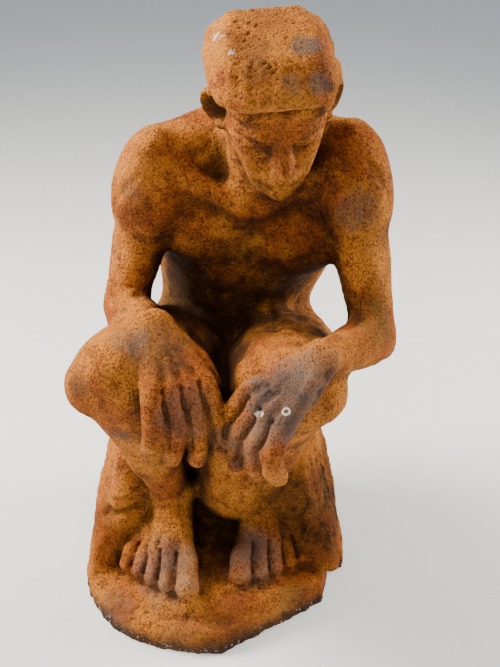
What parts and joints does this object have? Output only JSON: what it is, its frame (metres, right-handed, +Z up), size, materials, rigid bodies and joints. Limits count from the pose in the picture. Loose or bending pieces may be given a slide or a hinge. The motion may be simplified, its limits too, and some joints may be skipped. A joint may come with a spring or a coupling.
{
  "type": "garden statue",
  "caption": "Cast iron garden statue of a seated man, head bowed and forearms on the thighs, on a rough rock with an oval plinth.",
  "frame": {"origin": "centre of the plinth's underside, on the ground", "axes": "+Z up, -Y the way the figure faces, +X towards the figure's left"},
  "size_m": [0.38, 0.4435, 0.7119],
  "materials": {
    "rusty_cast_iron": "bare sand-cast iron, rusted all over to a matt orange and red-brown, with worn grey places"
  },
  "bodies": {
    "root": {"seated_man_statue": "rusty_cast_iron"}
  },
  "joints": []
}
